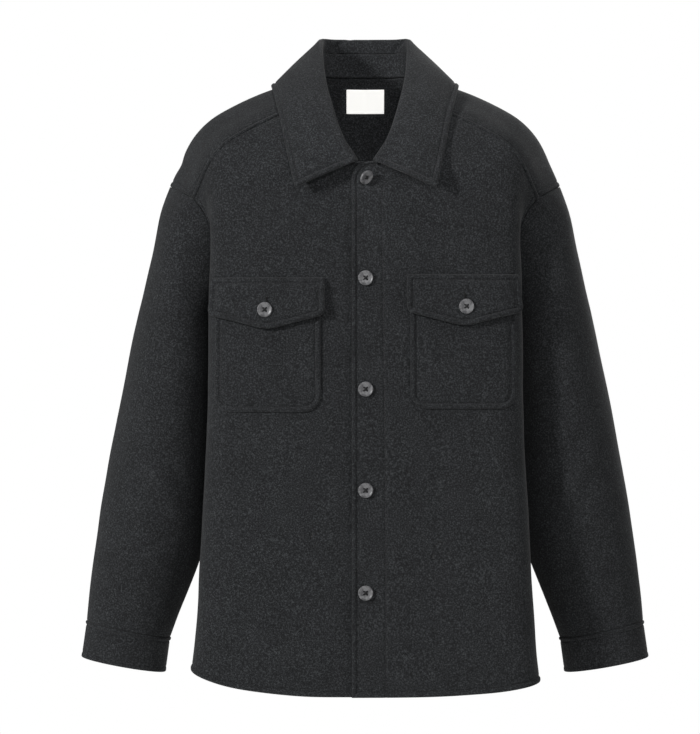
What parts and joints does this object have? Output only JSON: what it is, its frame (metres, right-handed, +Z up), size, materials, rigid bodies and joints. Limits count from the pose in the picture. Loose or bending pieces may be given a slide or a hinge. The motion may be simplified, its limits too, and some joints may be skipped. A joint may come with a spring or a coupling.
{
  "type": "shacket",
  "caption": "Hip-length wool overshirt, filled out as if worn: turn-down collar, buttoned placket, two flapped chest patch pockets, shoulder yoke and long cuffed sleeves.",
  "frame": {"origin": "between the two high points of the shoulders, where the garment is held up on its shoulders", "axes": "+Z up, front of the garment towards -Y, wearer's left towards +X"},
  "size_m": [0.7072, 0.2507, 0.8173],
  "materials": {
    "wool": "brushed charcoal melange",
    "buttons": "satin resin",
    "label": "bare woven satin"
  },
  "bodies": {
    "root": {"front_left": "wool", "front_right": "wool", "back": "wool", "yoke": "wool", "sleeve_left": "wool", "sleeve_right": "wool", "cuff_left": "wool", "cuff_right": "wool", "collar_stand": "wool", "collar_leaf": "wool", "pocket_left": "wool", "pocket_right": "wool", "flap_left": "wool", "flap_right": "wool", "button_1": "buttons", "button_2": "buttons", "button_3": "buttons", "button_4": "buttons", "button_5": "buttons", "button_pocket_left": "buttons", "button_pocket_right": "buttons", "neck_label": "label"}
  },
  "joints": []
}
